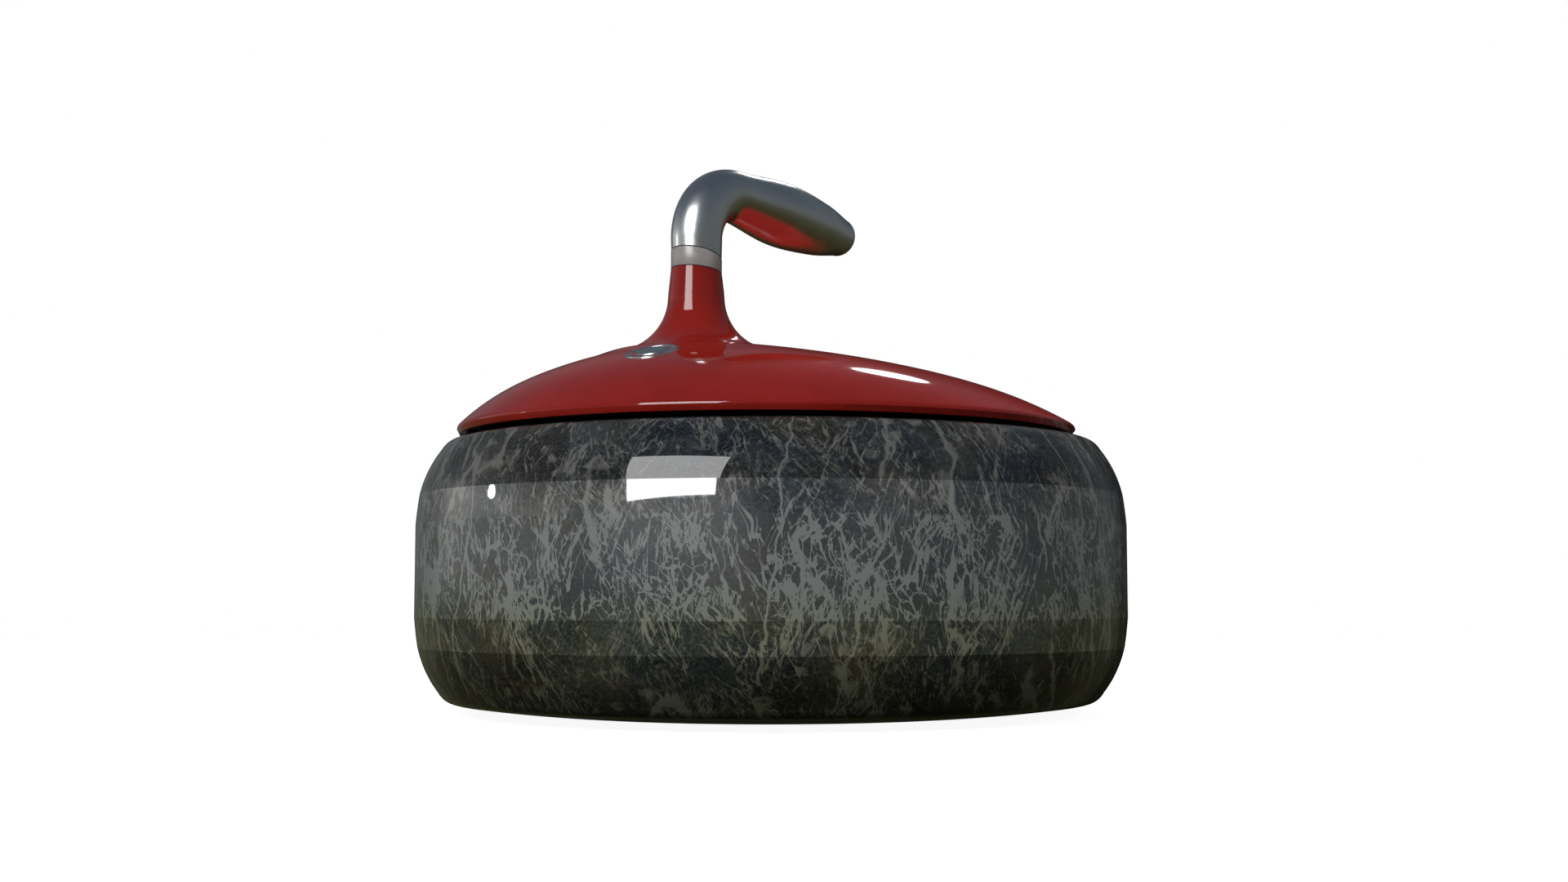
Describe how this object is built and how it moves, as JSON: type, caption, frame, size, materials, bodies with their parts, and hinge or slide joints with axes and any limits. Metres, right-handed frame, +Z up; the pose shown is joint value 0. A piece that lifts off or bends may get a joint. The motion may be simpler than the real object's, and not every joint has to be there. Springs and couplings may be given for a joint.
{
  "type": "curling stone",
  "caption": "Curling stone: a dished granite disc with a bonded running insert underneath, and a bolted domed cap whose offset neck carries a curved steel grip.",
  "frame": {"origin": "on the stone's axis, in the plane of the running surface that rests on the ice", "axes": "+Z up along the stone's axis; +X along the handle, from its neck towards the tip of the grip"},
  "size_m": [0.29, 0.29, 0.2214],
  "materials": {
    "granite": "polished",
    "hone_granite": "satin",
    "red_plastic": "gloss",
    "collar_plastic": "satin",
    "polished_steel": "polished",
    "zinc_steel": "satin",
    "aluminium": "satin",
    "brass": "satin",
    "silver": "satin",
    "rubber": "matte"
  },
  "bodies": {
    "root": {"stone_body": "granite", "running_insert": "hone_granite", "handle_cap": "red_plastic", "neck_collar": "collar_plastic", "grip_shell": "polished_steel", "grip_spigot": "aluminium", "id_badge": "silver", "handle_bolt": "zinc_steel", "bolt_washer": "zinc_steel", "bolt_cushion_washer": "rubber", "boss_insert": "brass", "seat_washer": "rubber", "seat_ring": "rubber", "neck_bolt": "zinc_steel", "neck_bolt_washer": "zinc_steel", "neck_spring_washer": "zinc_steel", "locating_pin": "zinc_steel"}
  },
  "joints": []
}
